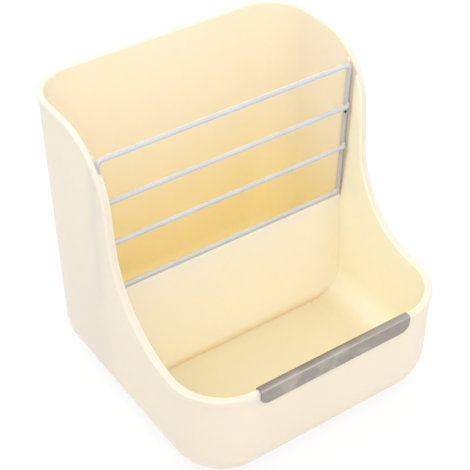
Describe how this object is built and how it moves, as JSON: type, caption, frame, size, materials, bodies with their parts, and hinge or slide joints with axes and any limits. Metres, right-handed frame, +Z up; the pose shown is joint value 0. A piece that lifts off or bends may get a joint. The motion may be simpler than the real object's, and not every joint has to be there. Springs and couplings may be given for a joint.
{
  "type": "chinchilla food bowl with hay rack",
  "caption": "Moulded small-animal feeder: a low open food bowl in front, a tall hay space behind it, a lift-out wire rack between them and a folded metal guard over the front lip.",
  "frame": {"origin": "middle of the flat base, on the surface the feeder stands on", "axes": "+Z up, +X to the right when facing the open bowl from the front, the bowl opens towards -Y and the hay space is towards +Y"},
  "size_m": [0.16, 0.1611, 0.1675],
  "materials": {
    "shell": "smooth moulded cream plastic with a soft sheen",
    "coated_wire": "steel wire with a thick smooth white coating",
    "guard": "thin stainless strip with a fine satin grain along its length"
  },
  "bodies": {
    "feeder": {"body_shell": "shell", "lip_guard": "guard"},
    "rack": {"rack_frame_wire": "coated_wire", "rack_cross_wire_upper": "coated_wire", "rack_cross_wire_lower": "coated_wire"}
  },
  "joints": [
    {"name": "rack_lift", "type": "slide", "parent": "feeder", "child": "rack", "axis": [0, -0.0262, 0.9997], "range_m": [0, 0.105]}
  ]
}
